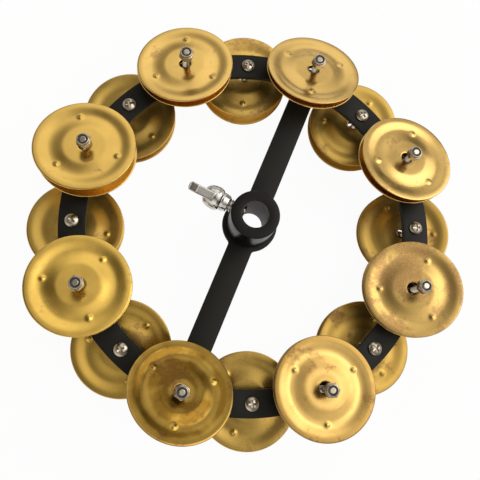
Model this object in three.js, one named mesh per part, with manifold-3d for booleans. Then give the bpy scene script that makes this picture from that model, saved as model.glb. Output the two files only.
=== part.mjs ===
// Hi-hat tambourine: a flat painted ring with one crossbar, a clamp hub for the rod of a hi-hat stand, and
// sixteen bolts, pointing up and down by turns, each with a loose pair of stamped brass jingles.
// Millimetres, +Z up. The origin is on the axis of the hub's bore, level with the ends of the lower bolts.
import * as THREE from 'three';
import { mergeVertices } from 'three/addons/utils/BufferGeometryUtils.js';
import Module from 'manifold-3d';

// Frame plate
const postCircleRadius = 104;
const postsPerSide = 8;
const plateThickness = 3;
const bandWidth = 15.6;
const crossbarWidth = 15;
const eyeRadius = 16.5;
const cornerFillet = 2.5;

// Clamp hub
const hubRadius = 14;
const hubHeight = 24;
const boreRadius = 7.5;
const spigotRadius = 9.5;
const hubChamfer = 0.6;
const screwHeight = 17;
const screwAzimuth = 176;

// Wing screw: stud with its tip inside the bore, and the cast head that turns it
const studRadius = 4;
const studTipReach = 1.6;
const studTipChamfer = 0.8;
const socketDepth = 9;
const noseStandOff = 2.5;
const noseTipRadius = 4.8;
const noseRadius = 5.3;
const noseLength = 4;
const bossRadius = 7;
const bossLength = 11.5;
const bossShoulder = 1.2;
const bossCrown = 5;
const wingSpan = 25;
const wingThickness = 4.5;
const wingOverhang = 8.5;
const wingTipRadius = 4.2;
const wingRootStart = 3;
const wingRootRadius = 5.6;
const wingNotch = 1.4;
const wingTurn = 17;

// Bolts and self-locking nuts
const boltRadius = 2;
const boltLength = 30;
const boltEndChamfer = 0.4;
const boltHeadRadius = 4;
const boltHeadHeight = 2.4;
const boltHeadRimHeight = 1.2;
const boltHeadTopRadius = 2.4;
const nutAcrossFlats = 7;
const nutHexHeight = 3.6;
const nutCollarRadius = 3.2;
const nutHeight = 5;

// Jingle: a flat plate round the hole, and a ring-shaped ridge between it and the rim, towards its mate
const jingleRadius = 29;
const jingleSheet = 0.8;
const jingleHoleRadius = 3.5;
const jinglePlateRadius = 12.3;
const jingleRidgeInner = 17.6;
const jingleRidgeOuter = 21.2;
const jingleRidgeHeight = 0.9;

// Clearances
const holeClearance = 0.3;
const threadClearance = 0.3;
const restClearance = 0.3;

// Facets round each turned form, and along each fillet, crown and wing tip
const plateFacets = 64;
const eyeFacets = 32;
const boltFacets = 8;
const collarFacets = 12;
const jingleFacets = 16;
const filletSteps = 3;
const crownSteps = 3;
const wingTipSteps = 8;

const plateTop = boltLength;
const plateUnderside = plateTop - plateThickness;
const upperBoltEnd = plateUnderside + boltLength;
const hubTop = plateTop + hubHeight;
const screwAxisHeight = plateTop + screwHeight;
const boltHoleRadius = boltRadius + holeClearance;
const nutCornerRadius = nutAcrossFlats / 2 / Math.cos(Math.PI / 6);
const quarterTurn = Math.PI / 2;
const fullTurn = 2 * Math.PI;
const degree = Math.PI / 180;

// How each pair of jingles lies. lean is a disc's tilt in degrees and toward the side that dips, counted from
// +X. rise and spread are shares of the pair's free play: from its lowest place, and between its two discs.
const hangToward = 150;
const upperPairs = [
  { bottom: { lean: 9.5, toward: 159 }, top: { lean: 11, toward: 173 }, rise: 0.02, spread: 0.01 },
  { bottom: { lean: 12, toward: 92 }, top: { lean: 12.5, toward: 83 }, rise: 0.07, spread: 0.3 },
  { bottom: { lean: 16.5, toward: 98 }, top: { lean: 19.5, toward: 103 }, rise: 0.02, spread: 0.01 },
  { bottom: { lean: 11, toward: 133 }, top: { lean: 15, toward: 139 }, rise: 0.03, spread: 0.08 },
  { bottom: { lean: 8, toward: 80 }, top: { lean: 11.5, toward: 114 }, rise: 0.05, spread: 0.47 },
  { bottom: { lean: 12, toward: 95 }, top: { lean: 9, toward: 88 }, rise: 0.03, spread: 0.1 },
  { bottom: { lean: 25, toward: 85 }, top: { lean: 25, toward: 85 }, rise: 0.09, spread: 0.01 },
  { bottom: { lean: 6.5, toward: 100 }, top: { lean: 5, toward: 86 }, rise: 0.45, spread: 0.01 },
];
const lowerPairs = [
  { bottom: { lean: 4.5, toward: 167 }, top: { lean: 10.5, toward: -162 }, rise: 0.02, spread: 0.01 },
  { bottom: { lean: 11.5, toward: -93 }, top: { lean: 5, toward: -148 }, rise: 0.02, spread: 0.06 },
  { bottom: { lean: 11, toward: -82 }, top: { lean: 6, toward: -178 }, rise: 0.02, spread: 0.01 },
  { bottom: { lean: 6.5, toward: -89 }, top: { lean: 6, toward: -139 }, rise: 0.02, spread: 0.01 },
  { bottom: { lean: 0.5, toward: -41 }, top: { lean: 4, toward: 119 }, rise: 0.02, spread: 0.01 },
  { bottom: { lean: 3, toward: -60 }, top: { lean: 11, toward: -67 }, rise: 0.13, spread: 0.41 },
  { bottom: { lean: 1, toward: 103 }, top: { lean: 7.5, toward: -142 }, rise: 0.08, spread: 0.01 },
  { bottom: { lean: 3.5, toward: -149 }, top: { lean: 2.5, toward: -41 }, rise: 0.02, spread: 0.01 },
];

const blackPaint = { color: 0x24221f, roughness: 0.45, metalness: 0.2 };
const brass = { color: 0xc9a24a, roughness: 0.35, metalness: 1 };
const wingPlating = { color: 0xd9d9dc, roughness: 0.15, metalness: 1 };
const zincPlating = { color: 0xa8a49c, roughness: 0.3, metalness: 1 };

const wasm = await Module();
wasm.setup();

// Joining and cutting of closed solids
function solidOf(geometry) {
  const bare = geometry.index ? geometry.toNonIndexed() : geometry.clone();
  bare.deleteAttribute('normal');
  bare.deleteAttribute('uv');
  const merged = mergeVertices(bare, 1e-4);
  const vertProperties = new Float32Array(merged.attributes.position.array);
  const triVerts = new Uint32Array(merged.index.array);
  return new wasm.Manifold(new wasm.Mesh({ numProp: 3, vertProperties, triVerts }));
}

function geometryOf(solid) {
  const mesh = solid.getMesh();
  const geometry = new THREE.BufferGeometry();
  geometry.setAttribute('position', new THREE.Float32BufferAttribute(mesh.vertProperties, 3));
  geometry.setIndex(Array.from(mesh.triVerts));
  geometry.computeVertexNormals();
  return geometry;
}

function part(name, geometry, finish) {
  const mesh = new THREE.Mesh(geometry, new THREE.MeshStandardMaterial(finish));
  mesh.name = name;
  return mesh;
}

// A profile of [radius, height] pairs turned about +Z. It runs from the axis to the axis, upwards outside.
function turned(profile, facets) {
  const points = profile.map(([radius, height]) => new THREE.Vector2(radius, height));
  const geometry = new THREE.LatheGeometry(points, facets);
  geometry.rotateX(quarterTurn);
  return geometry;
}

// The same for a ring: the profile runs round its section and closes on its first point.
function turnedRing(profile, facets) {
  return turned([...profile, profile[0]], facets);
}

// A cylinder from one height to another that cuts or joins along Z
function plug(radius, from, to, facets) {
  const geometry = new THREE.CylinderGeometry(radius, radius, to - from, facets);
  geometry.rotateX(quarterTurn);
  geometry.translate(0, 0, (from + to) / 2);
  return geometry;
}

// Points along an arc, both ends included
function arc(x, y, radius, from, to, steps) {
  return Array.from({ length: steps + 1 }, (_, step) => {
    const angle = from + ((to - from) * step) / steps;
    return new THREE.Vector2(x + radius * Math.cos(angle), y + radius * Math.sin(angle));
  });
}

function circle(x, y, radius, facets) {
  return arc(x, y, radius, 0, fullTurn, facets).slice(0, -1);
}

// Places on the ring
function postPoint(index, offset) {
  const angle = ((index + offset) / postsPerSide) * fullTurn;
  return new THREE.Vector2(Math.cos(angle), Math.sin(angle)).multiplyScalar(postCircleRadius);
}

const upperPosts = upperPairs.map((pair, index) => postPoint(index, 0));
const lowerPosts = lowerPairs.map((pair, index) => postPoint(index, 0.5));

// Frame plate: ring, crossbar along Y and eye, cut from one flat sheet
function framePlate() {
  const outer = postCircleRadius + bandWidth / 2;
  const inner = postCircleRadius - bandWidth / 2;
  const outline = new THREE.Shape(circle(0, 0, outer, plateFacets));
  for (const side of [1, -1]) {
    outline.holes.push(new THREE.Path(gapOutline(inner, side)));
  }
  for (const post of [...upperPosts, ...lowerPosts]) {
    outline.holes.push(new THREE.Path(circle(post.x, post.y, boltHoleRadius, boltFacets)));
  }
  outline.holes.push(new THREE.Path(circle(0, 0, spigotRadius + holeClearance, eyeFacets)));
  const geometry = new THREE.ExtrudeGeometry(outline, { depth: plateThickness, bevelEnabled: false });
  geometry.translate(0, 0, plateUnderside);
  return part('frame_plate', geometry, blackPaint);
}

// One D-shaped gap: inside the ring, beside the crossbar and round the eye, with a fillet in each corner
function gapOutline(inner, side) {
  const edge = crossbarWidth / 2;
  const fillet = cornerFillet;
  const ringAngle = Math.asin((edge + fillet) / (inner - fillet));
  const eyeAngle = Math.asin((edge + fillet) / (eyeRadius + fillet));
  const ringY = (inner - fillet) * Math.cos(ringAngle);
  const eyeY = (eyeRadius + fillet) * Math.cos(eyeAngle);
  const half = 2 * quarterTurn;
  const points = [
    ...arc(0, 0, inner, ringAngle - quarterTurn, quarterTurn - ringAngle, plateFacets / 2),
    ...arc(edge + fillet, ringY, fillet, quarterTurn - ringAngle, half, filletSteps),
    ...arc(edge + fillet, eyeY, fillet, half, half + quarterTurn - eyeAngle, filletSteps),
    ...arc(0, 0, eyeRadius, quarterTurn - eyeAngle, eyeAngle - quarterTurn, eyeFacets / 2),
    ...arc(edge + fillet, -eyeY, fillet, quarterTurn + eyeAngle, half, filletSteps),
    ...arc(edge + fillet, -ringY, fillet, half, half + quarterTurn + ringAngle, filletSteps),
  ];
  return points.map((point) => new THREE.Vector2(side * point.x, point.y));
}

// Clamp hub: a collar on the eye, its spigot seated in the plate, with a cross hole for the wing screw
function clampHub() {
  const body = turnedRing([
    [boreRadius, plateUnderside],
    [spigotRadius, plateUnderside],
    [spigotRadius, plateTop],
    [hubRadius, plateTop],
    [hubRadius, hubTop - hubChamfer],
    [hubRadius - hubChamfer, hubTop],
    [boreRadius + hubChamfer, hubTop],
    [boreRadius, hubTop - hubChamfer],
  ], eyeFacets);
  const hole = alongScrew(plug(studRadius + threadClearance, 0, hubRadius * 2, collarFacets));
  return part('clamp_hub', geometryOf(solidOf(body).subtract(solidOf(hole))), blackPaint);
}

// Turns a form made along +Z from the bore's axis so that it runs out along the screw's axis
function alongScrew(geometry) {
  geometry.rotateY(-quarterTurn);
  geometry.rotateZ(screwAzimuth * degree - 2 * quarterTurn);
  geometry.translate(0, 0, screwAxisHeight);
  return geometry;
}

const studTip = boreRadius - studTipReach;
const noseStart = hubRadius + noseStandOff;
const bossStart = noseStart + noseLength;
const bossEnd = bossStart + bossLength;

function wingStud() {
  const end = noseStart + socketDepth - threadClearance;
  const stud = turned([
    [0, studTip],
    [studRadius - studTipChamfer, studTip],
    [studRadius, studTip + studTipChamfer],
    [studRadius, end],
    [0, end],
  ], collarFacets);
  return part('wing_stud', alongScrew(stud), wingPlating);
}

// Head of the wing screw: conical nose, boss with a round crown, and two wings that flare back past its end
function wingHead() {
  const crown = arc(0, 0, 1, 0, quarterTurn, crownSteps).slice(0, -1);
  const boss = turned([
    [0, noseStart],
    [noseTipRadius, noseStart],
    [noseRadius, bossStart],
    [bossRadius, bossStart + bossShoulder],
    ...crown.map((point) => [bossRadius * point.x, bossEnd - bossCrown + bossCrown * point.y]),
    [0, bossEnd],
  ], collarFacets);
  const hole = plug(studRadius + threadClearance, 0, noseStart + socketDepth, collarFacets);
  let head = solidOf(boss);
  for (const side of [1, -1]) {
    head = head.add(solidOf(wing(side)));
  }
  const geometry = geometryOf(head.subtract(solidOf(hole)));
  geometry.rotateZ(-wingTurn * degree);
  return part('wing_head', alongScrew(geometry), wingPlating);
}

// One wing: drawn with the screw's axis as the drawing's Y axis, rounded at its tip
function wing(side) {
  const front = new THREE.Vector2(wingRootRadius, bossStart + wingRootStart);
  const notch = new THREE.Vector2(wingNotch, bossEnd);
  const outline = new THREE.Shape([
    new THREE.Vector2(0, front.y),
    front,
    ...wingTip(front, notch),
    notch,
    new THREE.Vector2(0, bossEnd - wingNotch),
  ]);
  const geometry = new THREE.ExtrudeGeometry(outline, { depth: wingThickness, bevelEnabled: false });
  geometry.translate(0, 0, -wingThickness / 2);
  geometry.rotateX(quarterTurn);
  if (side < 0) {
    geometry.rotateZ(2 * quarterTurn);
  }
  return geometry;
}

// The arc round a wing's tip, which the straight edges from its front and its notch touch
function wingTip(front, notch) {
  const centre = new THREE.Vector2(wingSpan / 2, bossEnd + wingOverhang).subScalar(wingTipRadius);
  const toFront = front.clone().sub(centre);
  const toNotch = notch.clone().sub(centre);
  const start = toFront.angle() + Math.acos(wingTipRadius / toFront.length()) - fullTurn;
  const end = toNotch.angle() - Math.acos(wingTipRadius / toNotch.length());
  return arc(centre.x, centre.y, wingTipRadius, start, end, wingTipSteps);
}

// Pan-head bolt, drawn with its head above z = 0 and its thread below
function boltGeometry() {
  return turned([
    [0, -boltLength],
    [boltRadius - boltEndChamfer, -boltLength],
    [boltRadius, boltEndChamfer - boltLength],
    [boltRadius, 0],
    [boltHeadRadius, 0],
    [boltHeadRadius, boltHeadRimHeight],
    [boltHeadTopRadius, boltHeadHeight],
    [0, boltHeadHeight],
  ], boltFacets);
}

// Self-locking nut, drawn from z = 0 at its hexagon to its collar's end, without its hole
function nutSolid() {
  const hexagon = plug(nutCornerRadius, 0, nutHexHeight, 6);
  const collar = plug(nutCollarRadius, nutHexHeight / 2, nutHeight, collarFacets);
  return solidOf(hexagon).add(solidOf(collar));
}

function upperBolt(index) {
  const geometry = boltGeometry();
  geometry.rotateX(2 * quarterTurn);
  geometry.translate(upperPosts[index].x, upperPosts[index].y, plateUnderside);
  return part(`upper_bolt_${index + 1}`, geometry, zincPlating);
}

function upperNut(index) {
  const hole = plug(boltRadius + threadClearance, -nutHeight, 2 * nutHeight, boltFacets);
  const geometry = geometryOf(nutSolid().subtract(solidOf(hole)));
  geometry.translate(upperPosts[index].x, upperPosts[index].y, upperBoltEnd - nutHeight);
  return part(`upper_nut_${index + 1}`, geometry, zincPlating);
}

// A lower bolt and the nut that is locked on its end, as one solid
function lowerBolt(index) {
  const nut = geometryOf(nutSolid());
  nut.rotateX(2 * quarterTurn);
  nut.translate(0, 0, nutHeight - boltLength);
  const geometry = geometryOf(solidOf(boltGeometry()).add(solidOf(nut)));
  geometry.translate(lowerPosts[index].x, lowerPosts[index].y, plateTop);
  return part(`lower_bolt_${index + 1}`, geometry, zincPlating);
}

// Stamped jingle about its own axis, ridge down. The middle of its sheet at plate and rim is at z = 0.
function jingleGeometry() {
  const half = jingleSheet / 2;
  const line = [
    [jingleHoleRadius, 0],
    [jinglePlateRadius, 0],
    [jingleRidgeInner, -jingleRidgeHeight],
    [jingleRidgeOuter, -jingleRidgeHeight],
    [jingleRadius, 0],
  ];
  const upperFace = line.map(([radius, height]) => [radius, height + half]);
  const lowerFace = line.map(([radius, height]) => [radius, height - half]);
  return turnedRing([...lowerFace, ...upperFace.reverse()], jingleFacets);
}

// How far a leaning jingle's rim reaches along Z from the middle of its plate
function rimReach(lean) {
  return jingleRadius * Math.sin(lean) + (jingleSheet / 2) * Math.cos(lean);
}

// The same for its outer face where it meets a nut
function nutReach(lean) {
  return jingleSheet / 2 / Math.cos(lean) + nutCornerRadius * Math.tan(lean);
}

// How far a leaning jingle can hang sideways before its hole meets the bolt
function sidePlay(lean) {
  const room = jingleHoleRadius * Math.cos(Math.PI / jingleFacets) * Math.cos(lean);
  return room - (jingleSheet / 2) * Math.sin(lean) - boltRadius - restClearance;
}

// Slope of a leaning jingle's plate as a vector on the ground plane
function slope({ lean, toward }) {
  const length = Math.tan(lean * degree);
  return new THREE.Vector2(Math.cos(toward * degree), Math.sin(toward * degree)).multiplyScalar(length);
}

// Least distance along Z between two discs of one pair, whose ridges face each other. Discs that splay meet
// first at their rims, and discs that lie alike meet at their ridges.
function closedDistance(bottom, top) {
  const steepest = Math.max(bottom.lean, top.lean) * degree;
  const splay = slope(bottom).sub(slope(top)).length();
  const atRims = splay * jingleRadius;
  const atRidges = splay * jingleRidgeOuter + (2 * jingleRidgeHeight) / Math.cos(steepest);
  return Math.max(atRims, atRidges) + (jingleSheet + restClearance) / Math.cos(steepest);
}

// Rest heights of a pair between the floor of its play and the ceiling above it
function pairHeights(floor, ceiling, { bottom, top, rise, spread }) {
  const closed = closedDistance(bottom, top);
  const play = ceiling - floor - closed;
  const bottomHeight = floor + rise * play;
  return { bottomHeight, topHeight: bottomHeight + closed + spread * play };
}

function upperHeights(pair) {
  const floor = plateTop + restClearance + rimReach(pair.bottom.lean * degree);
  const ceiling = upperBoltEnd - nutHeight - restClearance - nutReach(pair.top.lean * degree);
  return pairHeights(floor, ceiling, pair);
}

function lowerHeights(pair) {
  const onNut = nutHeight + restClearance + nutReach(pair.bottom.lean * degree);
  const overGround = restClearance + rimReach(pair.bottom.lean * degree);
  const ceiling = plateUnderside - restClearance - rimReach(pair.top.lean * degree);
  return pairHeights(Math.max(onNut, overGround), ceiling, pair);
}

// One jingle on its post. The disc above in a pair has its ridge down, the one below has it up.
function jingle(name, post, height, pose, ridgeUp) {
  const mesh = part(name, jingleGeometry(), brass);
  if (ridgeUp) {
    mesh.geometry.rotateX(2 * quarterTurn);
  }
  const lean = pose.lean * degree;
  const toward = pose.toward * degree;
  const normal = new THREE.Vector3(Math.cos(toward), Math.sin(toward), 0).multiplyScalar(Math.sin(lean));
  normal.z = Math.cos(lean);
  mesh.quaternion.setFromUnitVectors(new THREE.Vector3(0, 0, 1), normal);
  const hang = hangToward * degree;
  const play = sidePlay(lean);
  mesh.position.set(post.x + play * Math.cos(hang), post.y + play * Math.sin(hang), height);
  return mesh;
}

// A pair of jingles on its post, named after its side of the ring and its place round it
function jinglePair(side, index, post, pair, { bottomHeight, topHeight }) {
  return [
    jingle(`${side}_jingle_${index + 1}_bottom`, post, bottomHeight, pair.bottom, true),
    jingle(`${side}_jingle_${index + 1}_top`, post, topHeight, pair.top, false),
  ];
}

const tambourine = new THREE.Group();
tambourine.add(framePlate(), clampHub(), wingStud(), wingHead());
upperPairs.forEach((pair, index) => {
  tambourine.add(upperBolt(index), upperNut(index));
  tambourine.add(...jinglePair('upper', index, upperPosts[index], pair, upperHeights(pair)));
});
lowerPairs.forEach((pair, index) => {
  tambourine.add(lowerBolt(index));
  tambourine.add(...jinglePair('lower', index, lowerPosts[index], pair, lowerHeights(pair)));
});

export default tambourine;
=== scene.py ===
import math

import bmesh
import bpy
import numpy as np
from mathutils import Euler, Matrix, Vector


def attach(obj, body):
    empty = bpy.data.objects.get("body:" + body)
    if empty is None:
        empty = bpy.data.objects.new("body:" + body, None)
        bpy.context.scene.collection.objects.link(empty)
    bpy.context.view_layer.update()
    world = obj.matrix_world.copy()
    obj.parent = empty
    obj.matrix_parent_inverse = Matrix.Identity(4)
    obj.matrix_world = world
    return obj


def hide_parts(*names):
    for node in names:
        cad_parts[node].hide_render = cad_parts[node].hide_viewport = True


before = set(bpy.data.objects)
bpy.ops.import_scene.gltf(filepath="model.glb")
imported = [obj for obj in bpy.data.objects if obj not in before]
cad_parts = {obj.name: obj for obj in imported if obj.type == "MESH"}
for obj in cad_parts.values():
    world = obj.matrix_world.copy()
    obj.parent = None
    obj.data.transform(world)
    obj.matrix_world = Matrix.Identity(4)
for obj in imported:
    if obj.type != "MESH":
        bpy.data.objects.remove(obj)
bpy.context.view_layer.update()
mm = 0.001
turn = 2 * math.pi

# Seen from above with a slight lean: place in mm, angles in degrees about X, Y and Z
camera = {
    "place": (-12.846, -95.351, 366.565), "angles": (12.283, -7.0825, 22.0754),
    "lens": 43.72, "sensor": 36, "nearest": 10,
}


def makeCamera(values):
    data = bpy.data.cameras.new("camera")
    data.lens, data.sensor_width = values["lens"], values["sensor"]
    data.clip_start = values["nearest"] * mm
    eye = bpy.data.objects.new("camera", data)
    bpy.context.scene.collection.objects.link(eye)
    angles = Euler([math.radians(angle) for angle in values["angles"]])
    eye.matrix_world = Matrix.Translation(Vector(values["place"]) * mm) @ angles.to_matrix().to_4x4()
    bpy.context.scene.camera = eye


makeCamera(camera)
print("camera made")


# Quads between neighbouring points of a grid; a ring direction joins its end to its start
def gridFaces(rows, columns, ringRows=False, ringColumns=False):
    i = np.arange(rows if ringRows else rows - 1)
    j = np.arange(columns if ringColumns else columns - 1)
    i, j = np.meshgrid(i, j, indexing="ij")
    nextI, nextJ = (i + 1) % rows, (j + 1) % columns
    corners = [i * columns + j, i * columns + nextJ, nextI * columns + nextJ, nextI * columns + j]
    return np.stack(corners, -1).reshape(-1, 4)


# The signed volume under the faces is negative where they point inwards, and then they are turned over
def outward(points, faces):
    p = points[faces]
    first = np.einsum("ij,ij->i", p[:, 0], np.cross(p[:, 1], p[:, 2]))
    second = np.einsum("ij,ij->i", p[:, 0], np.cross(p[:, 2], p[:, 3]))
    return faces if (first + second).sum() > 0 else faces[:, ::-1]


# Point (i, j) is profile point i turned about Z by j of the steps. The profile is a closed ring, or both of
# its ends lie on the axis.
def revolve(profile, steps):
    r, z = np.asarray(profile, float).T
    a = np.arange(steps) * turn / steps
    points = np.stack([np.outer(r, np.cos(a)), np.outer(r, np.sin(a)), np.outer(z, np.ones(steps))], -1)
    points = points.reshape(-1, 3)
    ring = bool(r[0] > 0 and r[-1] > 0)
    return points, outward(points, gridFaces(len(r), steps, ring, True))


def joined(*shells):
    points, faces, start = [], [], 0
    for p, f in shells:
        points.append(p)
        faces.append(f + start)
        start += len(p)
    return np.concatenate(points), np.concatenate(faces)


def arc(x, y, radius, start, end, steps):
    a = np.linspace(start, end, steps)
    return np.stack([x + radius * np.cos(a), y + radius * np.sin(a)], -1)


def circle(x, y, radius, steps):
    return arc(x, y, radius, 0, turn, steps + 1)[:-1]


# A corner point replaced by points on the arc that is tangent to both of its sides
def rounded(corner, before, after, radius, steps):
    corner, before, after = (np.asarray(p, float) for p in (corner, before, after))
    one, two = before - corner, after - corner
    one, two = one / np.linalg.norm(one), two / np.linalg.norm(two)
    half = math.acos(float(np.clip(one @ two, -1, 1))) / 2
    centre = corner + (one + two) / np.linalg.norm(one + two) * radius / math.sin(half)
    start = corner + one * radius / math.tan(half) - centre
    end = corner + two * radius / math.tan(half) - centre
    share = np.linspace(0, 1, steps)[:, None]
    spread = math.pi - 2 * half
    return centre + (np.sin((1 - share) * spread) * start + np.sin(share * spread) * end) / math.sin(spread)


# A closed outline from corners, each with the radius of its rounding, or 0 where it stays sharp
def roundedOutline(corners, steps):
    points = []
    for k, (corner, radius) in enumerate(corners):
        before, after = corners[k - 1][0], corners[(k + 1) % len(corners)][0]
        points.append(rounded(corner, before, after, radius, steps) if radius else np.array([corner]))
    return np.concatenate(points)


# In metres: points closer than the first are merged, and edges shorter than the second go
weldReach = 2e-7
shortestEdge = 1e-7


def shadeMesh(mesh, sharp):
    mesh.shade_smooth()
    mesh.set_sharp_from_angle(angle=math.radians(sharp))


# A mesh from arrays in mm. Welding merges the points that meet at poles and seams, and edges past the given
# angle in degrees stay sharp.
def makeMesh(name, shell, sharp=30, weld=True):
    points, faces = shell
    mesh = bpy.data.meshes.new(name)
    mesh.from_pydata(points * mm, [], faces)
    if weld:
        work = bmesh.new()
        work.from_mesh(mesh)
        bmesh.ops.remove_doubles(work, verts=work.verts, dist=weldReach)
        bmesh.ops.dissolve_degenerate(work, edges=work.edges, dist=shortestEdge)
        work.to_mesh(mesh)
        work.free()
    shadeMesh(mesh, sharp)
    mesh.update()
    return mesh


def addPiece(name, mesh, material, body, nodes=()):
    piece = bpy.data.objects.new(name, mesh)
    mesh.name = name
    bpy.context.scene.collection.objects.link(piece)
    mesh.materials.clear()
    mesh.materials.append(material)
    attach(piece, body)
    if nodes:
        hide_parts(*nodes)
    return piece


def placedCopy(template, place):
    mesh = template.copy()
    mesh.transform(place)
    mesh.update()
    return mesh


# Turns what the modifiers show into the piece's own mesh
def finishModifiers(piece, sharp):
    bpy.context.view_layer.update()
    shown = piece.evaluated_get(bpy.context.evaluated_depsgraph_get())
    mesh = bpy.data.meshes.new_from_object(shown)
    piece.modifiers.clear()
    piece.data = mesh
    shadeMesh(mesh, sharp)
    return mesh


# Finishes a piece's modifiers with one more that cuts a closed mesh away from it
def cutAndFinish(piece, cutterMesh, sharp):
    cutter = bpy.data.objects.new(cutterMesh.name, cutterMesh)
    bpy.context.scene.collection.objects.link(cutter)
    cut = piece.modifiers.new("cut", "BOOLEAN")
    cut.object, cut.operation, cut.solver = cutter, "DIFFERENCE", "EXACT"
    mesh = finishModifiers(piece, sharp)
    bpy.data.objects.remove(cutter)
    return mesh


# One node with its settings, and for each named or numbered input a value or the socket that feeds it
def addNode(tree, kind, inputs=None, **settings):
    made = tree.nodes.new("ShaderNode" + kind)
    for key, value in settings.items():
        setattr(made, key, value)
    fillInputs(tree, made, inputs or {})
    return made


def fillInputs(tree, node, inputs):
    for key, value in inputs.items():
        if isinstance(value, bpy.types.NodeSocket):
            tree.links.new(value, node.inputs[key])
        else:
            node.inputs[key].default_value = value


def placeGroup(tree, group, inputs):
    made = tree.nodes.new("ShaderNodeGroup")
    made.node_tree = group
    fillInputs(tree, made, inputs)
    return made.outputs


# A ramp from one value to another while the input goes from low to high
def ramp(tree, value, low, high, toLow=0.0, toHigh=1.0, kind="LINEAR"):
    inputs = {0: value, 1: low, 2: high, 3: toLow, 4: toHigh}
    return addNode(tree, "MapRange", inputs, interpolation_type=kind).outputs[0]


def smooth(tree, value, low, high, toLow=0.0, toHigh=1.0):
    return ramp(tree, value, low, high, toLow, toHigh, "SMOOTHSTEP")


def calc(tree, operation, a, b=0.0, c=0.0):
    return addNode(tree, "Math", {0: a, 1: b, 2: c}, operation=operation).outputs[0]


# Two values weighed by shares that add up to 1
def blend(tree, a, share, b):
    return calc(tree, "MULTIPLY_ADD", a, share, calc(tree, "MULTIPLY", b, 1 - share))


def vectorMath(tree, operation, a, b):
    second = "Scale" if operation == "SCALE" else 1
    return addNode(tree, "VectorMath", {0: a, second: b}, operation=operation).outputs[0]


def mixColour(tree, factor, a, b, blendType="MIX"):
    made = addNode(tree, "Mix", {0: factor, 6: a, 7: b}, data_type="RGBA", blend_type=blendType)
    return made.outputs[2]


# Noise over space, or along one value where the dimensions are 1D
def noise(tree, where, scale, detail, roughness, dimensions="3D"):
    place = "W" if dimensions == "1D" else "Vector"
    inputs = {place: where, "Scale": scale, "Detail": detail, "Roughness": roughness}
    return addNode(tree, "TexNoise", inputs, noise_dimensions=dimensions).outputs[0]


# The distance from the Z axis is the square root of x*x + y*y
def axisDistance(tree, vector):
    point = addNode(tree, "SeparateXYZ", {0: vector}).outputs
    squareX, squareY = calc(tree, "MULTIPLY", point[0], point[0]), calc(tree, "MULTIPLY", point[1], point[1])
    return calc(tree, "SQRT", calc(tree, "ADD", squareX, squareY))


# One for camera rays, the given share for rays that a surface has mirrored or bent, and zero for all others
def seenByRays(tree, mirroredShare=1.0):
    ray = addNode(tree, "LightPath").outputs
    mirrored = calc(tree, "MAXIMUM", ray["Is Glossy Ray"], ray["Is Transmission Ray"])
    return calc(tree, "MAXIMUM", ray["Is Camera Ray"], calc(tree, "MULTIPLY", mirrored, mirroredShare))


def newGroup(name, inputs, outputs):
    group = bpy.data.node_groups.new(name, "ShaderNodeTree")
    for label, (kind, start) in inputs.items():
        made = group.interface.new_socket(label, in_out="INPUT", socket_type="NodeSocket" + kind)
        if start is not None:
            made.default_value = start
    for label, kind in outputs.items():
        group.interface.new_socket(label, in_out="OUTPUT", socket_type="NodeSocket" + kind)
    return group, group.nodes.new("NodeGroupInput").outputs, group.nodes.new("NodeGroupOutput").inputs


surfaceOutputs = {"Colour": "Color", "Roughness": "Float", "Height": "Float"}


def newMaterial(name, shaderValues):
    made = bpy.data.materials.new(name)
    made.use_nodes = True
    tree = made.node_tree
    shader = tree.nodes["Principled BSDF"]
    fillInputs(tree, shader, shaderValues)
    return made, tree, shader


# Colour, roughness and bump of a surface group go to the shader; the bump is a strength and a distance in mm
def linkSurface(tree, shader, surface, bump):
    tree.links.new(surface["Colour"], shader.inputs["Base Color"])
    tree.links.new(surface["Roughness"], shader.inputs["Roughness"])
    inputs = {"Strength": bump[0], "Distance": bump[1] * mm, "Height": surface["Height"]}
    tree.links.new(addNode(tree, "Bump", inputs).outputs[0], shader.inputs["Normal"])


# Handled surface: cloudy change of colour and gloss, small specks and a fine unevenness
def makeHandledGroup():
    grey = (0.5, 0.5, 0.5, 1)
    inputs = {
        "Place": ("Vector", None), "Colour": ("Color", grey), "Worn Colour": ("Color", grey),
        "Cloud Scale": ("Float", 60.0), "Grain Scale": ("Float", 900.0), "Wear": ("Float", 0.3),
        "Gloss Low": ("Float", 0.3), "Gloss High": ("Float", 0.5),
    }
    cloudLook, grainLook, cloudShare = (4.0, 0.6), (2.0, 0.6), 0.75
    wornFrom, wornTo, glossFrom, glossTo = 0.45, 0.75, 0.3, 0.7
    group, take, give = newGroup("handledSurface", inputs, surfaceOutputs)
    cloud = noise(group, take["Place"], take["Cloud Scale"], *cloudLook)
    grain = noise(group, take["Place"], take["Grain Scale"], *grainLook)
    worn = calc(group, "MULTIPLY", smooth(group, cloud, wornFrom, wornTo), take["Wear"])
    group.links.new(mixColour(group, worn, take["Colour"], take["Worn Colour"]), give["Colour"])
    both = blend(group, cloud, cloudShare, grain)
    rough = ramp(group, both, glossFrom, glossTo, take["Gloss Low"], take["Gloss High"])
    group.links.new(rough, give["Roughness"])
    group.links.new(grain, give["Height"])
    return group


handled = makeHandledGroup()


def handledMetal(name, look, shaderValues):
    made, tree, shader = newMaterial(name, shaderValues)
    surface = placeGroup(tree, handled, {
        "Place": addNode(tree, "TexCoord").outputs["Object"],
        "Colour": (*look["colour"], 1), "Worn Colour": (*look["worn"], 1), "Wear": look["wear"],
        "Cloud Scale": look["cloud"], "Grain Scale": look["grain"],
        "Gloss Low": look["gloss"][0], "Gloss High": look["gloss"][1],
    })
    linkSurface(tree, shader, surface, look["bump"])
    return made


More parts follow.
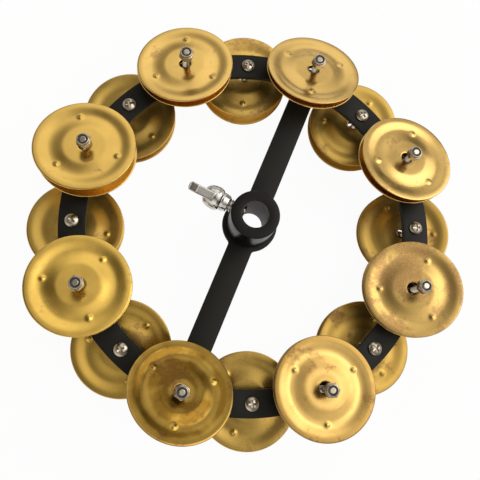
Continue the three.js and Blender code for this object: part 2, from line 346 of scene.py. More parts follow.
# Noise scales are per metre, and a bump is a strength and a distance in mm
paintLook = {
    "colour": (0.0075, 0.0065, 0.0050), "worn": (0.016, 0.013, 0.010), "wear": 0.5,
    "cloud": 45, "grain": 1400, "gloss": (0.40, 0.52), "bump": (0.25, 0.05),
}
# The hub's paint is glossier than the plate's and darker; the darker colour is painted shade, so that its top
# face, mirroring the bright sky, stays as dark as the plate
shadedHubPaintLook = {
    "colour": (0.0045, 0.0038, 0.0032), "worn": (0.009, 0.0075, 0.006), "wear": 0.4,
    "cloud": 70, "grain": 1800, "gloss": (0.22, 0.34), "bump": (0.2, 0.04),
}
zincLook = {
    "colour": (0.42, 0.37, 0.30), "worn": (0.26, 0.21, 0.15), "wear": 0.7,
    "cloud": 350, "grain": 2600, "gloss": (0.16, 0.34), "bump": (0.25, 0.03),
}
platingLook = {
    "colour": (0.57, 0.56, 0.54), "worn": (0.31, 0.295, 0.27), "wear": 0.6,
    "cloud": 160, "grain": 700, "gloss": (0.08, 0.20), "bump": (0.35, 0.08),
}
insertLook = {
    "colour": (0.030, 0.028, 0.027), "worn": (0.09, 0.085, 0.08), "wear": 0.5,
    "cloud": 500, "grain": 3000, "gloss": (0.35, 0.5), "bump": (0.2, 0.03),
}
blackPaint = handledMetal("blackPaint", paintLook, {"Specular IOR Level": 0.18})
shadedHubPaint = handledMetal("shadedHubPaint", shadedHubPaintLook, {"Specular IOR Level": 0.15})
zinc = handledMetal("zincPlating", zincLook, {"Metallic": 1.0})
brightPlating = handledMetal("brightPlating", platingLook, {"Metallic": 1.0})
insertPlastic = handledMetal("insertPlastic", insertLook, {})

brassLook = {
    "lemon": (0.72, 0.465, 0.10), "sand": (0.70, 0.47, 0.17),
    "brown": (0.28, 0.165, 0.058), "stain": (0.42, 0.235, 0.11), "tarnish_and_shade": (0.25, 0.21, 0.135),
    # scale per mm, detail and roughness of each noise
    "cloud": (0.055, 3.0, 0.55), "blot": (0.30, 6.0, 0.68), "speck": (1.3, 3.0, 0.6),
    "marks": (2.2, 3.0, 0.7), "rings": (0.13, 1.0, 0.5),
    # smooth steps: the two inputs between which each runs, and what it goes from and to
    "cloudShade": (0.3, 0.7, 0.86, 1.06), "markShade": (0.3, 0.7, 0.97, 1.02),
    "speckStep": (0.35, 0.6, 0.35, 1.0), "ringStep": (0.34, 0.66, 0.55, 1.4),
    "holeStep": (3.4, 5.0, 0.55, 0.0), "rimStep": (27.6, 28.8, 0.0, 0.35),
    "grimeStep": (0.35, 0.65, 0.3, 1.0), "glossStep": (0.35, 0.65, 0.17, 0.28),
    # stains start at a level that falls with their amount, and reach their most over a short way
    "stainLevel": 0.62, "stainFall": -0.16, "stainWidth": 0.07, "stainMost": 0.75, "stainRough": 0.12,
    # the share of one noise in a blend with another: cloud in stains, rings in tarnish, marks in gloss
    "stainShare": 0.6, "ringShare": 0.5, "markShare": 0.4,
    # the seed's shift along Y and Z for each one along X, the marks' and blots' heights, and the bump
    "shift": (1.7, -0.6), "relief": (0.5, 0.6), "bump": (0.14, 0.02),
}


# Patina: the two vectors are the point in its own jingle, in mm, and that jingle's tint, stain and seed
def makePatinaGroup(look):
    inputs = {
        "Place": ("Vector", None), "Coat": ("Vector", None),
        "Tarnish_and_shade": ("Float", 0.0), "Matte": ("Float", 0.0),
    }
    group, take, give = newGroup("patina", inputs, surfaceOutputs)
    tint, stain, seed = addNode(group, "SeparateXYZ", {0: take["Coat"]}).outputs
    seedY, seedZ = (calc(group, "MULTIPLY", seed, share) for share in look["shift"])
    shift = addNode(group, "CombineXYZ", {0: seed, 1: seedY, 2: seedZ}).outputs[0]
    where = vectorMath(group, "ADD", take["Place"], shift)
    cloud = noise(group, where, *look["cloud"])
    blot = noise(group, where, *look["blot"])
    speck = noise(group, where, *look["speck"])
    # turning marks, and the wide rings that they leave in the tarnish, are noise along the radius only
    reach = axisDistance(group, take["Place"])
    along = calc(group, "ADD", reach, seed)
    marks = noise(group, along, *look["marks"], "1D")
    rings = noise(group, along, *look["rings"], "1D")

    tinted = mixColour(group, tint, (*look["lemon"], 1), (*look["sand"], 1))
    markShade = smooth(group, marks, *look["markShade"])
    shade = calc(group, "MULTIPLY", smooth(group, cloud, *look["cloudShade"]), markShade)
    colour = vectorMath(group, "SCALE", tinted, shade)
    # stains gather where the cloudy and the blotchy noise are both high
    level = calc(group, "MULTIPLY_ADD", stain, look["stainFall"], look["stainLevel"])
    full = calc(group, "ADD", level, look["stainWidth"])
    both = blend(group, cloud, look["stainShare"], blot)
    stained = smooth(group, both, level, full, 0.0, look["stainMost"])
    stained = calc(group, "MULTIPLY", stained, smooth(group, speck, *look["speckStep"]))
    colour = mixColour(group, stained, colour, (*look["stain"], 1))
    # tarnish lies in rings and is a little cloudy; on the lower jingles this darkening is partly painted
    # shade, for the shade under the plate and the upper jingles
    dull = smooth(group, blend(group, rings, look["ringShare"], cloud), *look["ringStep"])
    dull = calc(group, "MULTIPLY", take["Tarnish_and_shade"], dull)
    colour = mixColour(group, dull, colour, (*look["tarnish_and_shade"], 1), "MULTIPLY")
    # grime sits along the hole's edge and the rim
    hole, rim = smooth(group, reach, *look["holeStep"]), smooth(group, reach, *look["rimStep"])
    patches = smooth(group, blot, *look["grimeStep"])
    grime = calc(group, "MULTIPLY", calc(group, "MAXIMUM", hole, rim), patches)
    group.links.new(mixColour(group, grime, colour, (*look["brown"], 1)), give["Colour"])

    rough = ramp(group, blend(group, marks, look["markShare"], cloud), *look["glossStep"])
    rough = calc(group, "MULTIPLY_ADD", stained, look["stainRough"], rough)
    group.links.new(calc(group, "ADD", rough, take["Matte"]), give["Roughness"])
    markHeight, blotHeight = look["relief"]
    height = calc(group, "MULTIPLY_ADD", marks, markHeight, calc(group, "MULTIPLY", blot, blotHeight))
    group.links.new(height, give["Height"])
    return group


def makeBrass(look):
    made, tree, shader = newMaterial("stampedBrass", {"Metallic": 1.0})
    inputs = {}
    for label, output in (("Place", "Vector"), ("Coat", "Vector"), ("Tarnish_and_shade", "Fac"), ("Matte", "Fac")):
        inputs[label] = addNode(tree, "Attribute", attribute_name=label.lower()).outputs[output]
    linkSurface(tree, shader, placeGroup(tree, makePatinaGroup(look), inputs), look["bump"])
    return made


brass = makeBrass(brassLook)
print("materials made")

# Sizes of all pieces are in mm
jingleShape = {
    "radius": 29.0, "hole": 3.5, "sheet": 0.8,
    # radii of the flat plate, of the groove and of the flat rim
    "plate": 11.9, "deepest": 19.6, "lip": 27.0,
    # depths of plate and groove under the rim, and how sharp the plate's edge is
    "sunk": 0.2, "groove": 0.95, "crease": 1.4,
    "dimples": 3, "dimpleAt": 19.5, "dimpleRadius": 1.3, "dimpleHeight": 0.62, "dimpleZone": 2.1,
    # steps from hole to plate, dimples, their far side, rim and edge, then those round the axis
    "bands": (8, 8, 9, 8, 2), "angles": 126, "crowding": 0.65,
}


# The sheet's middle line is flat to the plate's radius, sinks as a power of a sine to the groove and rises as
# a squared one to the flat rim. Both faces stand half the sheet off it along its normal, and half circles
# close the two edges. Round the axis the angle is t - c sin(3t)/3, so that the columns crowd together at the
# three dimples, each of which is a bell, exp(-d*d/(w*w)).
def jingleShell(shape):
    half = shape["sheet"] / 2
    start, end = shape["hole"] + half, shape["radius"] - half
    zone = shape["dimpleAt"] - shape["dimpleZone"], shape["dimpleAt"] + shape["dimpleZone"]
    limits = [start, shape["plate"], *zone, shape["lip"], end]
    bands = [np.linspace(low, high, count, endpoint=False)
             for low, high, count in zip(limits[:-1], limits[1:], shape["bands"])]
    r = np.append(np.concatenate(bands), end)
    sink = np.clip((r - shape["plate"]) / (shape["deepest"] - shape["plate"]), 0, 1)
    climb = np.clip((r - shape["deepest"]) / (shape["lip"] - shape["deepest"]), 0, 1)
    z = (shape["sunk"] - shape["groove"]) * np.sin(sink * turn / 4) ** shape["crease"] - shape["sunk"]
    z = z + shape["groove"] * np.sin(climb * turn / 4) ** 2
    slope = np.gradient(z, r)
    normal = np.stack([-slope, np.ones_like(r)], -1) / np.sqrt(1 + slope**2)[:, None]
    middle = np.stack([r, z], -1)
    bend = np.radians(np.linspace(60, -60, 5))
    halfCircle = half * np.stack([np.cos(bend), np.sin(bend)], -1)
    upperFace, lowerFace = middle + half * normal, (middle - half * normal)[::-1]
    profile = np.concatenate([upperFace, middle[-1] + halfCircle, lowerFace, middle[0] - halfCircle])
    t = np.arange(shape["angles"]) * turn / shape["angles"]
    a = t - shape["crowding"] * np.sin(shape["dimples"] * t) / shape["dimples"]
    x, y = np.outer(profile[:, 0], np.cos(a)), np.outer(profile[:, 0], np.sin(a))
    h = np.repeat(profile[:, 1:2], len(a), 1)
    for k in range(shape["dimples"]):
        at = turn * k / shape["dimples"]
        far = (x - shape["dimpleAt"] * math.cos(at)) ** 2 + (y - shape["dimpleAt"] * math.sin(at)) ** 2
        h = h + shape["dimpleHeight"] * np.exp(-far / shape["dimpleRadius"] ** 2)
    points = np.stack([x, y, h], -1).reshape(-1, 3)
    return points, outward(points, gridFaces(len(profile), len(a), True, True))


def setVectors(mesh, name, values):
    values = np.asarray(values, np.float32).ravel()
    mesh.attributes.new(name, "FLOAT_VECTOR", "POINT").data.foreach_set("vector", values)


def setFloat(mesh, name, value):
    values = np.full(len(mesh.vertices), value, np.float32)
    mesh.attributes.new(name, "FLOAT", "POINT").data.foreach_set("value", values)


# A jingle's pose is read from its CAD node: the normal is the direction in which its points spread least,
# away from the ridge, and the middle is on the axis, level with the rim
def jinglePlace(node, spin):
    rimFrom, ridgeFrom, ridgeTo = 0.95, 0.55, 0.8  # shares of the radius
    co = np.zeros(len(node.data.vertices) * 3)
    node.data.vertices.foreach_get("co", co)
    co = np.unique(np.round(co.reshape(-1, 3), 7), axis=0)
    middle = co.mean(0)
    normal = np.linalg.eigh(np.cov((co - middle).T))[1][:, 0]
    height = (co - middle) @ normal
    reach = np.linalg.norm(co - middle - np.outer(height, normal), axis=1)
    share = reach / reach.max()
    rim, ridge = share > rimFrom, (share > ridgeFrom) & (share < ridgeTo)
    if height[ridge].mean() > height[rim].mean():
        normal, height = -normal, -height
    middle = middle + normal * height[rim].mean()
    across = np.array([1.0, 0, 0]) - normal[0] * normal
    across /= np.linalg.norm(across)
    along = np.cross(normal, across)
    c, s = math.cos(math.radians(spin)), math.sin(math.radians(spin))
    place = np.eye(4)
    place[:3] = np.stack([c * across + s * along, c * along - s * across, normal, middle], -1)
    return Matrix(place.tolist())


# For each pair: spin of its upper jingle in degrees, tint from lemon 0 to sand 1, stain 0 to 1, tarnish 0 to
# 1, on the lower row partly painted shade, and what wear adds to the roughness
jingleLooks = {
    "upper": [(81, 0.8, 1.0, 0.34, 0.04), (91, 0.9, 0.5, 0.14, 0.0), (42, 0.8, 0.2, 0.0, 0.0),
              (110, 0.6, 0.2, 0.0, 0.0), (3.5, 0.4, 0.25, 0.06, 0.0), (73, 0.1, 0.35, 0.0, 0.0),
              (40.5, 0.15, 0.6, 0.86, -0.06), (52.5, 0.8, 0.6, 0.56, -0.02)],
    # the lower row's tarnish is partly painted shade, darkening jingles that sit in shade under the plate and
    # the upper jingles
    "lower": [(20, 0.3, 0.5, 0.45, 0.13), (75, 0.3, 0.4, 0.34, 0.13), (50, 0.3, 0.5, 0.0, 0.10),
              (100, 0.2, 0.4, 0.0, 0.11), (10, 0.2, 0.45, 0.08, 0.11), (65, 0.0, 0.4, 0.33, 0.03),
              (30, 0.3, 0.5, 0.0, 0.03), (90, 0.3, 0.4, 0.50, 0.13)],
}
# How single jingles differ from their row: the lower one's further spin, tint, stain and their noise's place
jingleChange = {"seed": 7, "spin": (20, 100), "tint": 0.08, "stain": 0.1, "noiseSeed": (20, 400)}


def makeJingles(shape, looks, change):
    shell = jingleShell(shape)
    template = makeMesh("jingle", shell, sharp=60, weld=False)
    setVectors(template, "place", shell[0])
    random = np.random.default_rng(change["seed"])
    for side, rows in looks.items():
        for index, (spin, tint, stain, tarnish_and_shade, matte) in enumerate(rows, 1):
            for level in ("bottom", "top"):
                node = f"{side}_jingle_{index}_{level}"
                offset = 0 if level == "top" else random.uniform(*change["spin"])
                mesh = placedCopy(template, jinglePlace(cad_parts[node], spin + offset))
                ownTint = np.clip(tint + random.uniform(-change["tint"], change["tint"]), 0, 1)
                ownStain = np.clip(stain + random.uniform(-change["stain"], change["stain"]), 0, 1)
                coat = ownTint, ownStain, random.uniform(*change["noiseSeed"])
                setVectors(mesh, "coat", np.tile(coat, (len(mesh.vertices), 1)))
                setFloat(mesh, "tarnish_and_shade", tarnish_and_shade)
                setFloat(mesh, "matte", matte)
                addPiece(f"{side}Jingle{index}{level.title()}", mesh, brass, node, [node])


makeJingles(jingleShape, jingleLooks, jingleChange)
print("jingles made")

plateShape = {
    "postCircle": 104.0, "band": 15.6, "bar": 15.0, "eye": 16.5, "fillet": 2.5,
    "underside": 27.0, "top": 30.0, "boltHole": 2.3, "hubHole": 9.8, "posts": 16,
    "bevel": 0.35, "bevelSteps": 3, "bevelFrom": 50, "sharp": 35,
}


# One gap's outline: the ring's inner arc, a fillet into the crossbar, a fillet out to the eye's arc, and the
# same back
def gapOutline(shape, side):
    inner = shape["postCircle"] - shape["band"] / 2
    fillet, quarter = shape["fillet"], turn / 4
    offset = shape["bar"] / 2 + fillet
    ringAngle = math.asin(offset / (inner - fillet))
    eyeAngle = math.asin(offset / (shape["eye"] + fillet))
    ringY, eyeY = (inner - fillet) * math.cos(ringAngle), (shape["eye"] + fillet) * math.cos(eyeAngle)
    parts = [
        arc(0, 0, inner, ringAngle - quarter, quarter - ringAngle, 120),
        arc(offset, ringY, fillet, quarter - ringAngle, 2 * quarter, 10)[1:],
        arc(offset, eyeY, fillet, 2 * quarter, 3 * quarter - eyeAngle, 8),
        arc(0, 0, shape["eye"], quarter - eyeAngle, eyeAngle - quarter, 40)[1:-1],
        arc(offset, -eyeY, fillet, quarter + eyeAngle, 2 * quarter, 8),
        arc(offset, -ringY, fillet, 2 * quarter, 3 * quarter + ringAngle, 10)[:-1],
    ]
    return np.concatenate(parts) * (side, 1)


def postPlace(shape, share):
    a = turn * share
    return shape["postCircle"] * math.cos(a), shape["postCircle"] * math.sin(a)


def plateLoops(shape):
    loops = [circle(0, 0, shape["postCircle"] + shape["band"] / 2, 240)]
    loops += [gapOutline(shape, 1), gapOutline(shape, -1), circle(0, 0, shape["hubHole"], 64)]
    for k in range(shape["posts"]):
        loops.append(circle(*postPlace(shape, k / shape["posts"]), shape["boltHole"], 28))
    return loops


def makePlate(shape):
    work = bmesh.new()
    edges = []
    for loop in plateLoops(shape):
        verts = [work.verts.new((x * mm, y * mm, shape["underside"] * mm)) for x, y in loop]
        edges += [work.edges.new((verts[k - 1], verts[k])) for k in range(len(verts))]
    bmesh.ops.triangle_fill(work, use_beauty=True, use_dissolve=False, edges=edges)
    bmesh.ops.recalc_face_normals(work, faces=work.faces)
    if work.faces[:][0].normal.z > 0:
        bmesh.ops.reverse_faces(work, faces=work.faces)
    mesh = bpy.data.meshes.new("framePlate")
    work.to_mesh(mesh)
    work.free()
    piece = addPiece("framePlate", mesh, blackPaint, "frame", ["frame_plate"])
    thick = piece.modifiers.new("thickness", "SOLIDIFY")
    thick.thickness, thick.offset = (shape["top"] - shape["underside"]) * mm, -1
    bevel = piece.modifiers.new("roundedEdges", "BEVEL")
    bevel.width, bevel.segments = shape["bevel"] * mm, shape["bevelSteps"]
    bevel.limit_method, bevel.angle_limit = "ANGLE", math.radians(shape["bevelFrom"])
    bevel.harden_normals = False
    finishModifiers(piece, shape["sharp"])


makePlate(plateShape)
print("plate made")

hubShape = {
    "radius": 14.0, "bore": 7.5, "spigot": 9.5, "low": 27.0, "shoulder": 30.0, "top": 54.0,
    "edge": 0.7, "boreEdge": 0.3, "spigotEdge": 0.2, "shoulderEdge": 0.25,
    "screwHeight": 47.0, "screwAzimuth": 176, "screwHole": 4.3, "screwHoleLength": 20, "sharp": 40,
}
# The bore wall's lighter colour is painted reflection of the pale surroundings. It is whole up to the first
# distance from the bore's radius, in mm, and ends at the second
boreReflectionLook = {"wholeTo": 0.15, "endsAt": 0.5, "colour": (0.085, 0.070, 0.063), "roughness": 0.50}


# Carries a piece made up along +Z to the screw's axis, pointing out of the hub from the given x
def screwPlace(hub, x):
    azimuth = math.radians(hub["screwAzimuth"] - 180)
    out = Matrix.Rotation(azimuth, 4, "Z") @ Matrix.Translation((x * mm, 0, 0))
    return Matrix.Translation((0, 0, hub["screwHeight"] * mm)) @ out @ Matrix.Rotation(-turn / 4, 4, "Y")


def makeHub(shape):
    bore, spigot, radius = shape["bore"], shape["spigot"], shape["radius"]
    corners = [
        ((bore, shape["low"]), shape["boreEdge"]), ((spigot, shape["low"]), shape["spigotEdge"]),
        ((spigot, shape["shoulder"]), 0), ((radius, shape["shoulder"]), shape["shoulderEdge"]),
        ((radius, shape["top"]), shape["edge"]), ((bore, shape["top"]), shape["edge"]),
    ]
    mesh = makeMesh("clampHub", revolve(roundedOutline(corners, 6), 128), shape["sharp"])
    piece = addPiece("clampHub", mesh, shadedHubPaint, "frame", ["clamp_hub"])
    hole, length = shape["screwHole"], shape["screwHoleLength"]
    drill = makeMesh("screwHole", revolve([(0, 0), (hole, 0), (hole, length), (0, length)], 48))
    drill.transform(screwPlace(shape, 0))
    cutAndFinish(piece, drill, shape["sharp"])


# The bore's wall is left rougher than the paint outside, and a lighter brownish grey painted on it stands in
# for the reflection of the pale surroundings (painted reflection)
def paintBoreReflection(material, radius, look):
    tree = material.node_tree
    inputs = tree.nodes["Principled BSDF"].inputs
    reach = axisDistance(tree, addNode(tree, "TexCoord").outputs["Object"])
    ends = [(radius + look[key]) * mm for key in ("wholeTo", "endsAt")]
    inside = smooth(tree, reach, *ends, 1.0, 0.0)
    paint, gloss = (inputs[label].links[0].from_socket for label in ("Base Color", "Roughness"))
    tree.links.new(mixColour(tree, inside, paint, (*look["colour"], 1)), inputs["Base Color"])
    rough = addNode(tree, "Mix", {0: inside, 2: gloss, 3: look["roughness"]}, data_type="FLOAT")
    tree.links.new(rough.outputs[0], inputs["Roughness"])


makeHub(hubShape)
paintBoreReflection(shadedHubPaint, hubShape["bore"], boreReflectionLook)
print("hub made")

screwShape = {
    "radius": 2.0, "length": 30.0, "pitch": 0.7, "depth": 0.33, "endChamfer": 0.4, "intoHead": 0.4,
    "headRadius": 4.0, "headHeight": 2.4, "domePower": 0.8, "sharp": 32,
    # the head from its dome's edge down and in under it: grid place, share of the head's radius, height
    "skirt": [(1.0, 0.955, 1.2), (1.08, 0.99, 1.05), (1.16, 1.0, 0.85), (1.24, 1.0, 0.12), (1.32, 0.985, 0.0),
              (1.6, 0.0, 0.0)],
    # the cross's half width, reach and sloping edge as shares of the dome, its depth in the middle, and the
    # share of that which it loses by the ends of its arms
    "recessHalf": 0.15, "recessReach": 0.58, "recessEdge": 0.03, "recessDepth": 1.5, "recessLoss": 0.5,
}


# Rows of points climb round the axis as a helix, one row for each step of the thread's cosine wave. A point's
# height is its row's plus the pitch times its turn, held between the two ends, and past an end the radius
# runs to the axis.
def threadShell(radius, pitch, depth, low, high, chamfer, steps=20, perPitch=6):
    # pitches by which the rows run past the lower and the upper end, and what the end's radius lacks in mm
    # beside the chamfer
    below, above, lack = 3, 2.5, 0.05
    lift = np.arange(low - below * pitch, high + above * pitch, pitch / perPitch)
    wave = radius - depth * (0.5 - 0.5 * np.cos(np.arange(len(lift)) * turn / perPitch))
    a = np.arange(steps) * turn / steps
    s = lift[:, None] + pitch * np.arange(steps)[None] / steps
    z = np.clip(s, low, high)
    inside = np.minimum(s - low, high - s)
    r = np.minimum(wave[:, None], radius - chamfer - lack + np.clip(inside, 0, None))
    r = r * np.clip(1 + np.clip(inside, None, 0) / pitch, 0, 1)
    points = np.stack([r * np.cos(a), r * np.sin(a), z], -1).reshape(-1, 3)
    # the last column meets the first one a whole pitch further up
    last = np.arange(len(lift) - perPitch - 1) * steps + steps - 1
    first = last + 1 + (perPitch - 1) * steps
    seam = np.stack([last, first, first + steps, last + steps], -1)
    faces = np.concatenate([gridFaces(len(lift), steps), seam])
    return points, outward(points, faces)


# A square grid laid on a disc: x = u sqrt(1 - v*v/2), y = v sqrt(1 - u*u/2), with a shallow dome as its
# height. Past the disc's edge the same directions run down the head's side and in under it. The recess is a
# cross in u and v, shallower towards the ends of its arms.
def headShell(shape):
    half, reach, edge = shape["recessHalf"], shape["recessReach"], shape["recessEdge"]
    places, spreads, heights = np.array(shape["skirt"]).T
    # the grid's places from the middle out, with a pair of them at each sloping edge of the cross
    armPlaces = [0.07, half - edge, half + edge, 0.25, 0.36, 0.47, reach - edge, reach + edge]
    k = np.array([0, *armPlaces, 0.74, 0.86, 0.94, *places])
    k = np.concatenate([-k[:0:-1], k])
    u, v = np.meshgrid(k, k, indexing="ij")
    s = np.maximum(abs(u), abs(v))
    inU, inV = u / np.maximum(s, 1), v / np.maximum(s, 1)
    x, y = inU * np.sqrt(1 - inV**2 / 2), inV * np.sqrt(1 - inU**2 / 2)
    flat = np.hypot(x, y)
    spread = np.interp(s, places, spreads) * shape["headRadius"]
    dome = heights[0] + (shape["headHeight"] - heights[0]) * (1 - flat**2) ** shape["domePower"]

    def arm(across, along):
        inWidth = np.clip((half + edge - abs(across)) / (2 * edge), 0, 1)
        return inWidth * np.clip((reach + edge - abs(along)) / (2 * edge), 0, 1)

    depth = shape["recessDepth"] * np.maximum(arm(v, u), arm(u, v))
    depth = depth * (1 - shape["recessLoss"] * np.minimum(flat / reach, 1) ** 2)
    z = np.where(s <= 1, dome - depth, np.interp(s, places, heights))
    points = np.stack([x * spread, y * spread, z], -1).reshape(-1, 3)
    return points, outward(points, gridFaces(len(k), len(k)))


nutShape = {
    "flats": 7.6, "hexHeight": 3.6, "height": 5.0, "collar": 3.5, "hole": 2.12, "sharp": 28,
    "insertInner": 2.03, "insertOuter": 2.76, "insertMiddle": 4.4, "insertHalf": 0.42, "insertCorners": 0.7,
}


# Round the axis the radius is that of a hexagon, held under the row's own limit, which rounds its corners off
def nutShell(shape, steps=96):
    a = np.arange(steps) * turn / steps
    hexagon = shape["flats"] / 2 / np.cos((a + turn / 12) % (turn / 6) - turn / 12)
    hexTop, top, whole = shape["hexHeight"], shape["height"], shape["flats"]
    hole, collar, seat = shape["hole"], shape["collar"], shape["insertOuter"]
    rows = [
        # limit of the radius and height: the underside with its chamfer
        (hole, 0.3), (hole + 0.35, 0), (3.6, 0), (3.85, 0.1), (4.1, 0.25), (whole, 0.5),
        # the hexagon's upper chamfer
        (whole, hexTop - 0.55), (4.15, hexTop - 0.25), (3.9, hexTop - 0.08), (3.7, hexTop),
        # the collar, turned in over the insert
        (collar + 0.05, hexTop + 0.02), (collar, hexTop + 0.15), (collar, hexTop + 0.7),
        (3.38, top - 0.35), (3.2, top - 0.14), (3.0, top - 0.03), (seat + 0.1, top - 0.02),
        # the insert's seat and the hole
        (seat + 0.02, top - 0.1), (seat, top - 0.25), (seat, top - 1.1), (hole, top - 1.15),
    ]
    limit, z = np.array(rows).T
    r = np.minimum(limit[:, None], hexagon[None])
    points = np.stack([r * np.cos(a), r * np.sin(a), np.repeat(z[:, None], steps, 1)], -1).reshape(-1, 3)
    return points, outward(points, gridFaces(len(rows), steps, True, True))


# A ring whose section is an ellipse with squarer upper and lower ends
def insertShell(shape):
    a = np.arange(12) * turn / 12
    inner, outer = shape["insertInner"], shape["insertOuter"]
    r = (inner + outer) / 2 + (outer - inner) / 2 * np.cos(a)
    rise = np.sign(np.sin(a)) * abs(np.sin(a)) ** shape["insertCorners"]
    return revolve(np.stack([r, shape["insertMiddle"] + shape["insertHalf"] * rise], -1), 48)


# Turn in degrees of each screw's cross and nut
fastenerTurns = {
    "upper": [10, 35, 50, 5, 20, 40, 15, 55],
    "lower": [20, 65, 10, 35, 80, 50, 25, 70],
}


def standing(x, y, z):
    return Matrix.Translation(Vector((x, y, z)) * mm)


def makeFasteners(screw, nut, turns, plate):
    thread = screw["radius"], screw["pitch"], screw["depth"]
    shank = threadShell(*thread, -screw["length"], screw["intoHead"], screw["endChamfer"])
    bolt = makeMesh("screw", joined(headShell(screw), shank), screw["sharp"])
    hexNut = makeMesh("nut", nutShell(nut), nut["sharp"], weld=False)
    ring = makeMesh("insert", insertShell(nut))
    over = Matrix.Rotation(turn / 2, 4, "X")
    upperNutAt = plate["underside"] + screw["length"] - nut["height"]
    for side, angles in turns.items():
        for index, angle in enumerate(angles, 1):
            post = 2 * (index - 1) + (side == "lower")
            x, y = postPlace(plate, post / plate["posts"])
            spin = Matrix.Rotation(math.radians(angle), 4, "Z")
            if side == "upper":
                boltPlace = standing(x, y, plate["underside"]) @ over @ spin
                nutPlace = standing(x, y, upperNutAt) @ spin
            else:
                boltPlace = standing(x, y, plate["top"]) @ spin
                nutPlace = standing(x, y, nut["height"]) @ over @ spin
            # a lower nut's solid is one with its bolt's
            pieces = [
                ("Bolt", bolt, boltPlace, zinc, [f"{side}_bolt_{index}"]),
                ("Nut", hexNut, nutPlace, zinc, [f"upper_nut_{index}"] if side == "upper" else []),
                ("Insert", ring, nutPlace, insertPlastic, []),
            ]
            for name, template, place, material, nodes in pieces:
                mesh = placedCopy(template, place)
                addPiece(f"{side}{name}{index}", mesh, material, "frame", nodes)


makeFasteners(screwShape, nutShape, fastenerTurns, plateShape)
print("screws and nuts made")

# The ends of stud and nose and the boss's end are x from the hub's axis, with the screw pointing to -X
wingShape = {
    "studRadius": 4.0, "studPitch": 1.25, "studDepth": 0.65, "studTip": -5.9, "studEnd": -25.3,
    "studChamfer": 0.8, "studSharp": 50,
    "nose": -16.5, "bossEnd": -32.0, "socketRadius": 4.3, "socketDepth": 9,
    "wingOut": 12.4, "wingEnd": 40.4, "wingHalf": 2.6, "wingEdge": (0.35, 1.5), "wingTurn": 17,
    "voxel": 0.26, "softness": 0.5, "softSteps": 4, "sharp": 45,
}


# Row by row the wing's outline lies further out, from its middle over the rounded edge to its full size and
# back. The edge's radius is larger where the outline faces along the screw, small + extra * max(0, facing)^2.
def wingShell(shape, side):
    out, end, half = shape["wingOut"], shape["wingEnd"], shape["wingHalf"]
    # distance from the screw's axis, distance from the hub's axis, and rounding
    corners = [((2.6, 26.0), 0), ((5.6, 23.5), 0), ((out, 35.1), 0.5), ((out, end), 2.0), ((8.3, end), 2.6),
               ((2.0, 32.0), 0)]
    outline = roundedOutline(corners, 9) + (0, shape["nose"])
    along = np.roll(outline, -1, 0) - np.roll(outline, 1, 0)
    along /= np.linalg.norm(along, axis=1)[:, None]
    facing = np.stack([-along[:, 1], along[:, 0]], -1)
    middle = outline.mean(0)
    if ((outline - middle) * facing).sum() < 0:
        facing = -facing
    small, extra = shape["wingEdge"]
    radius = small + extra * np.clip(facing[:, 1], 0, 1) ** 2
    points = [np.column_stack([np.tile(middle, (len(outline), 1)), np.full(len(outline), half)])]
    for bend in np.linspace(0, turn / 4, 6):
        ring = outline - facing * (radius * (1 - math.sin(bend)))[:, None]
        points.append(np.column_stack([ring, half - radius * (1 - math.cos(bend))]))
    points = np.concatenate([np.stack(points), np.stack(points)[::-1] * (1, 1, -1)])
    count = len(points)
    points = points.reshape(-1, 3)[:, [0, 2, 1]] * (side, 1, 1)
    return points, outward(points, gridFaces(count, len(outline), False, True))


# Nose, neck, crown and round end of the boss as radius and distance from the nose
def bossShell(shape):
    length = shape["nose"] - shape["bossEnd"]
    profile = [
        # the nose, and the neck behind it
        (0, 0), (4.5, 0), (4.75, 0.25), (5.35, 2.6), (5.5, 3.3), (5.3, 3.9), (5.25, 4.3),
        # the boss with its crown
        (6.2, 5.0), (6.85, 6.2), (7.0, 7.8), (6.8, 9.8), (6.3, 12.0), (5.2, 14.0),
        # the round end
        (3.4, length - 0.35), (1.8, length), (0, length),
    ]
    return revolve(profile, 72)


# Boss and wings are cast together by a voxel remesh, smoothed, and bored for the stud
def makeWingHead(shape, hub):
    solid = makeMesh("wingHead", joined(bossShell(shape), wingShell(shape, 1), wingShell(shape, -1)))
    piece = addPiece("wingHead", solid, brightPlating, "wing_head", ["wing_head"])
    voxel = piece.modifiers.new("cast", "REMESH")
    voxel.mode, voxel.voxel_size, voxel.use_smooth_shade = "VOXEL", shape["voxel"] * mm, True
    soft = piece.modifiers.new("soft", "SMOOTH")
    soft.factor, soft.iterations = shape["softness"], shape["softSteps"]
    radius, depth = shape["socketRadius"], shape["socketDepth"]
    socket = makeMesh("socket", revolve([(0, -1), (radius, -1), (radius, depth), (0, depth)], 48))
    mesh = cutAndFinish(piece, socket, shape["sharp"])
    turned = Matrix.Rotation(math.radians(-shape["wingTurn"]), 4, "Z")
    mesh.transform(screwPlace(hub, shape["nose"]) @ turned)


def makeWingStud(shape, hub):
    thread = shape["studRadius"], shape["studPitch"], shape["studDepth"]
    length = shape["studTip"] - shape["studEnd"]
    shell = threadShell(*thread, 0, length, shape["studChamfer"], steps=40, perPitch=8)
    mesh = makeMesh("wingStud", shell, shape["studSharp"])
    mesh.transform(screwPlace(hub, shape["studTip"]))
    addPiece("wingStud", mesh, brightPlating, "wing_stud", ["wing_stud"])


makeWingHead(wingShape, hubShape)
makeWingStud(wingShape, hubShape)
print("wing screw made")

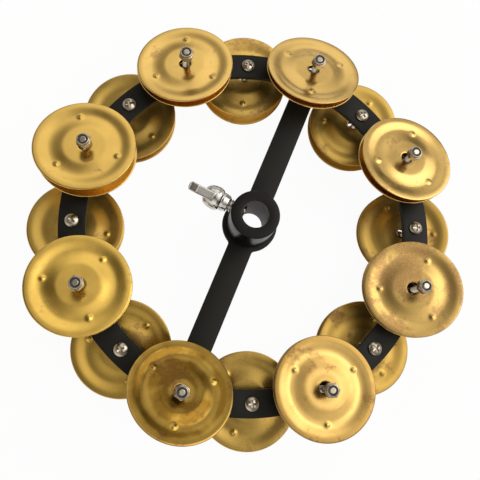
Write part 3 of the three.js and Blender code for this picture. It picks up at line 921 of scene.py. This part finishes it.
# Sizes and distances of the stage are in metres
stageLook = {
    "floorSize": 6.0, "floorGrey": 0.85, "floorRoughness": 0.9, "floorWhite": 0.95, "horizon": (0.06, 0.16),
    "shade": (0.15, 0.135, 0.105), "light": (1.2, 1.18, 1.12),
    # the world's glows: azimuth, elevation, the angles from there at which each is whole and at which it
    # ends, and its strength
    "glows": [
        (24, 58, 10, 52, 1.3), (104, 38, 10, 36, 1.0), (80, 46, 3, 17, -0.6), (-100, 12, 20, 60, 1.0),
        (185, 12, 10, 50, 0.55),
    ],
}
# Direction from the object as azimuth and elevation, distance, two sides, radiance and colour
keyLamp = {
    "azimuth": 44, "elevation": 43, "distance": 1.6, "size": (0.95, 1.6), "radiance": 1.7,
    "colour": (1.0, 0.99, 0.96),
}


def direction(azimuth, elevation):
    a, e = math.radians(azimuth), math.radians(elevation)
    return Vector((math.cos(a) * math.cos(e), math.sin(a) * math.cos(e), math.sin(e)))


# The world is a shade with soft glows added, each a smooth step of the angle from its middle. The camera sees
# white in its place, and so does metal near the horizon.
def makeWorld(look):
    world = bpy.data.worlds.new("studio")
    world.use_nodes = True
    tree = world.node_tree
    way = addNode(tree, "TexCoord").outputs["Generated"]
    total = 0.0
    for azimuth, elevation, whole, ends, strength in look["glows"]:
        inputs = {0: way, 1: direction(azimuth, elevation)}
        near = addNode(tree, "VectorMath", inputs, operation="DOT_PRODUCT").outputs["Value"]
        angle = calc(tree, "ARCCOSINE", near)
        glow = smooth(tree, angle, math.radians(whole), math.radians(ends), strength, 0.0)
        total = calc(tree, "ADD", total, glow)
    colour = vectorMath(tree, "ADD", vectorMath(tree, "SCALE", look["light"], total), look["shade"])
    height = addNode(tree, "SeparateXYZ", {0: way}).outputs[2]
    seen = seenByRays(tree, smooth(tree, height, *look["horizon"], 1.0, 0.0))
    tree.links.new(mixColour(tree, seen, colour, (1, 1, 1, 1)), tree.nodes["Background"].inputs["Color"])
    bpy.context.scene.world = world


# The floor is a pale grey that takes shadows, mixed with white for what the camera and metal see of it
def makeFloor(look):
    half, grey = look["floorSize"] / 2, look["floorGrey"]
    mesh = bpy.data.meshes.new("floor")
    corners = [(-half, -half, 0), (half, -half, 0), (half, half, 0), (-half, half, 0)]
    mesh.from_pydata(corners, [], [(0, 1, 2, 3)])
    floor = bpy.data.objects.new("floor", mesh)
    bpy.context.scene.collection.objects.link(floor)
    values = {"Roughness": look["floorRoughness"], "Base Color": (grey, grey, grey, 1)}
    made, tree, shader = newMaterial("floor", values)
    share = calc(tree, "MULTIPLY", seenByRays(tree), look["floorWhite"])
    glow = addNode(tree, "Emission", {"Color": (1, 1, 1, 1), "Strength": 1.0})
    mix = addNode(tree, "MixShader", {0: share, 1: shader.outputs[0], 2: glow.outputs[0]})
    tree.links.new(mix.outputs[0], tree.nodes["Material Output"].inputs["Surface"])
    mesh.materials.append(made)


# A flat lamp's power is its radiance times pi times its area
def makeLamp(name, look):
    wide, high = look["size"]
    data = bpy.data.lights.new(name, "AREA")
    data.shape, data.size, data.size_y = "RECTANGLE", wide, high
    data.energy, data.color = look["radiance"] * math.pi * wide * high, look["colour"]
    lamp = bpy.data.objects.new(name, data)
    bpy.context.scene.collection.objects.link(lamp)
    place = direction(look["azimuth"], look["elevation"])
    lamp.location = place * look["distance"]
    lamp.rotation_euler = place.to_track_quat("Z", "Y").to_euler()


makeWorld(stageLook)
makeFloor(stageLook)
makeLamp("keyLamp", keyLamp)
bpy.context.scene.view_settings.view_transform = "Standard"
print("stage made")
